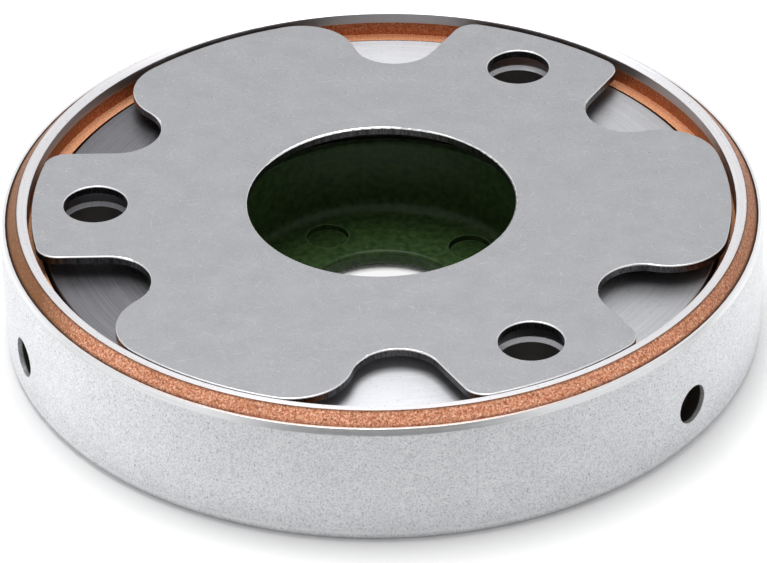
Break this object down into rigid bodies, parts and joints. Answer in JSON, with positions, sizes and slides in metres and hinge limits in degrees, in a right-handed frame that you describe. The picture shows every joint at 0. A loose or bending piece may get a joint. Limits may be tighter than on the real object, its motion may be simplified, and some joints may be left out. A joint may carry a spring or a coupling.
{
  "type": "starter clutch",
  "caption": "Centrifugal starter clutch: aluminium drum with a copper-coloured lining, sprung shoes under a lobed steel plate, and a green hub cup.",
  "frame": {"origin": "centre of the drum's base, on the clutch's axis", "axes": "+Z along the clutch's axis, from the drum's web towards the lobed front plate; one lobe's middle points along +X"},
  "size_m": [0.1, 0.1, 0.0187],
  "materials": {
    "cast_aluminium": "tumbled satin",
    "sintered_copper": "rough sintered, copper coloured",
    "turned_steel": "fine turned",
    "olive_paint": "semi-gloss dark olive green",
    "bronze": "plain",
    "plate_steel": "satin with fine scratches",
    "post_steel": "drawn bar",
    "shoe_steel": "face turned",
    "pin_steel": "ground",
    "spring_wire": "oiled spring steel"
  },
  "bodies": {
    "drum": {"drum": "cast_aluminium", "friction_lining": "sintered_copper", "rim_ring": "turned_steel", "hub_cup": "olive_paint", "hub_rivets": "olive_paint", "thrust_washer": "bronze"},
    "driver": {"front_plate": "plate_steel", "back_plate": "plate_steel", "spacer_post_1": "post_steel", "spacer_post_2": "post_steel", "spacer_post_3": "post_steel", "return_spring_1": "spring_wire", "return_spring_2": "spring_wire", "return_spring_3": "spring_wire"},
    "shoe_1": {"shoe_1": "shoe_steel", "spring_pins_1": "pin_steel"},
    "shoe_2": {"shoe_2": "shoe_steel", "spring_pins_2": "pin_steel"},
    "shoe_3": {"shoe_3": "shoe_steel", "spring_pins_3": "pin_steel"}
  },
  "joints": [
    {"name": "driver_spin", "type": "hinge", "parent": "drum", "child": "driver", "pos_m": [0, 0, 0], "axis": [0, 0, 1], "continuous": true},
    {"name": "shoe_1_slide", "type": "slide", "parent": "driver", "child": "shoe_1", "axis": [0.5, 0.866, 0], "range_m": [0, 0.0003], "stiffness_N_per_m": 4000, "springref_m": -0.0005, "deforming": ["return_spring_1"]},
    {"name": "shoe_2_slide", "type": "slide", "parent": "driver", "child": "shoe_2", "axis": [-1, 0, 0], "range_m": [0, 0.0003], "stiffness_N_per_m": 4000, "springref_m": -0.0005, "deforming": ["return_spring_2"]},
    {"name": "shoe_3_slide", "type": "slide", "parent": "driver", "child": "shoe_3", "axis": [0.5, -0.866, 0], "range_m": [0, 0.0003], "stiffness_N_per_m": 4000, "springref_m": -0.0005, "deforming": ["return_spring_3"]}
  ]
}
